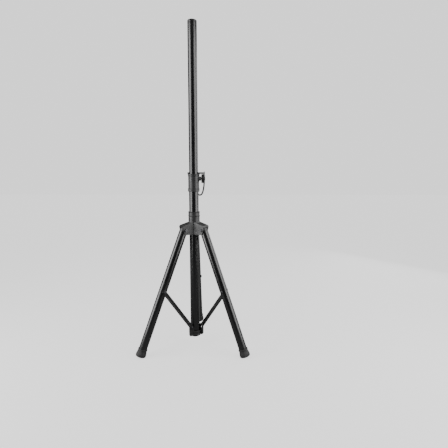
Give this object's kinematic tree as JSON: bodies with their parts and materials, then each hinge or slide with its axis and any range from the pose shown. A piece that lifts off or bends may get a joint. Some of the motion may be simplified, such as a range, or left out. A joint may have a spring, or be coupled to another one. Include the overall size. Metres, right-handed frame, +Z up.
{
  "type": "loudspeaker tripod stand",
  "caption": "Folding tripod stand for a loudspeaker: telescopic pole with safety pin, sliding hub, hinged round legs with flat struts and rubber feet.",
  "frame": {"origin": "centre of the floor area that the open stand covers, at floor level; the mast stands 57 mm in front of it, because one leg points back and two point forward", "axes": "+Z up along the mast, -Y towards the viewer between the two front legs, +X to the right, the side of the upper knob and the pin's head"},
  "size_m": [0.4378, 0.3844, 1.2639],
  "materials": {
    "powder_coat": "semi-gloss black powder coat",
    "moulded_plastic": "matte moulded black, fine grain",
    "rubber": "matte black rubber",
    "dark_zinc": "blackened zinc plating",
    "cord_weave": "braided black cord",
    "badge_red": "glossy red, no lettering"
  },
  "bodies": {
    "mast": {"bottom_collar": "moulded_plastic", "lanyard": "cord_weave", "lanyard_eye": "dark_zinc", "lanyard_ferrule_lower": "dark_zinc", "mast_bottom_plug": "moulded_plastic", "mast_tube": "powder_coat", "upper_brake_pad": "moulded_plastic", "upper_clamp_nut": "dark_zinc", "upper_collar": "moulded_plastic"},
    "pole": {"pole_bottom_plug": "moulded_plastic", "pole_top_cap": "moulded_plastic", "pole_tube": "powder_coat"},
    "pin": {"lanyard_ferrule_upper": "dark_zinc", "safety_pin": "dark_zinc"},
    "upper_screw": {"upper_clamp_screw": "dark_zinc"},
    "upper_knob": {"upper_knob": "moulded_plastic"},
    "hub": {"hub_shell": "moulded_plastic", "leg_1_pivot_bolt": "dark_zinc", "leg_1_pivot_nut": "dark_zinc", "leg_2_pivot_bolt": "dark_zinc", "leg_2_pivot_nut": "dark_zinc", "leg_3_pivot_bolt": "dark_zinc", "leg_3_pivot_nut": "dark_zinc", "lower_brake_pad": "moulded_plastic", "lower_clamp_nut": "dark_zinc"},
    "lower_screw": {"lower_clamp_screw": "dark_zinc"},
    "lower_knob": {"lower_knob": "moulded_plastic"},
    "leg_1": {"leg_1_foot": "rubber", "leg_1_strut_bolt": "dark_zinc", "leg_1_strut_nut": "dark_zinc", "leg_1_top_plug": "moulded_plastic", "leg_1_tube": "powder_coat"},
    "strut_1": {"strut_1_bar": "powder_coat", "strut_1_rivet": "dark_zinc"},
    "leg_2": {"leg_2_foot": "rubber", "leg_2_strut_bolt": "dark_zinc", "leg_2_strut_nut": "dark_zinc", "leg_2_top_plug": "moulded_plastic", "leg_2_tube": "powder_coat"},
    "strut_2": {"strut_2_bar": "powder_coat", "strut_2_rivet": "dark_zinc"},
    "leg_3": {"badge": "badge_red", "leg_3_foot": "rubber", "leg_3_strut_bolt": "dark_zinc", "leg_3_strut_nut": "dark_zinc", "leg_3_top_plug": "moulded_plastic", "leg_3_tube": "powder_coat"},
    "strut_3": {"strut_3_bar": "powder_coat", "strut_3_rivet": "dark_zinc"}
  },
  "joints": [
    {"name": "leg_1_fold", "type": "hinge", "parent": "hub", "child": "leg_1", "pos_m": [-0.03897, -0.07986, 0.48259], "axis": [0.5, -0.866, 0], "range_deg": [0, 20.2]},
    {"name": "leg_2_fold", "type": "hinge", "parent": "hub", "child": "leg_2", "pos_m": [0.03897, -0.07986, 0.48259], "axis": [0.5, 0.866, 0], "range_deg": [0, 20.2]},
    {"name": "leg_3_fold", "type": "hinge", "parent": "hub", "child": "leg_3", "pos_m": [0, -0.01236, 0.48259], "axis": [-1, 0, 0], "range_deg": [0, 20.2]},
    {"name": "hub_slide", "type": "slide", "parent": "mast", "child": "hub", "axis": [0, 0, 1], "range_m": [0, 0.05036]},
    {"name": "strut_1_hinge", "type": "hinge", "parent": "leg_1", "child": "strut_1", "pos_m": [-0.11896, -0.12604, 0.24812], "axis": [-0.5, 0.866, 0], "range_deg": [0, 46.63]},
    {"name": "strut_2_hinge", "type": "hinge", "parent": "leg_2", "child": "strut_2", "pos_m": [0.11896, -0.12604, 0.24812], "axis": [-0.5, -0.866, 0], "range_deg": [0, 46.63]},
    {"name": "strut_3_hinge", "type": "hinge", "parent": "leg_3", "child": "strut_3", "pos_m": [0, 0.07999, 0.24812], "axis": [1, 0, 0], "range_deg": [0, 46.63]},
    {"name": "pole_slide", "type": "slide", "parent": "mast", "child": "pole", "axis": [0, 0, 1], "range_m": [-0.32, 0.16]},
    {"name": "pin_pull", "type": "slide", "parent": "mast", "child": "pin", "axis": [1, 0, 0], "range_m": [0, 0.048]},
    {"name": "upper_screw_travel", "type": "slide", "parent": "mast", "child": "upper_screw", "axis": [1, 0, 0], "range_m": [0, 0.00201]},
    {"name": "upper_knob_turn", "type": "hinge", "parent": "upper_screw", "child": "upper_knob", "pos_m": [0, -0.05736, 0.68294], "axis": [1, 0, 0], "range_deg": [0, 720]},
    {"name": "lower_screw_travel", "type": "slide", "parent": "hub", "child": "lower_screw", "axis": [0, 1, 0], "range_m": [0, 0.00201]},
    {"name": "lower_knob_turn", "type": "hinge", "parent": "lower_screw", "child": "lower_knob", "pos_m": [0, -0.05736, 0.54459], "axis": [0, 1, 0], "range_deg": [0, 720]}
  ],
  "couplings": [
    {"joint": "leg_2_fold", "follows": "leg_1_fold", "ratio": 1},
    {"joint": "leg_3_fold", "follows": "leg_1_fold", "ratio": 1},
    {"joint": "hub_slide", "follows": "leg_1_fold", "m_per_rad": 0.14281},
    {"joint": "strut_1_hinge", "follows": "leg_1_fold", "ratio": 2.3079},
    {"joint": "strut_2_hinge", "follows": "leg_1_fold", "ratio": 2.3079},
    {"joint": "strut_3_hinge", "follows": "leg_1_fold", "ratio": 2.3079},
    {"joint": "upper_screw_travel", "follows": "upper_knob_turn", "m_per_rad": 0.00015915},
    {"joint": "lower_screw_travel", "follows": "lower_knob_turn", "m_per_rad": 0.00015915}
  ]
}
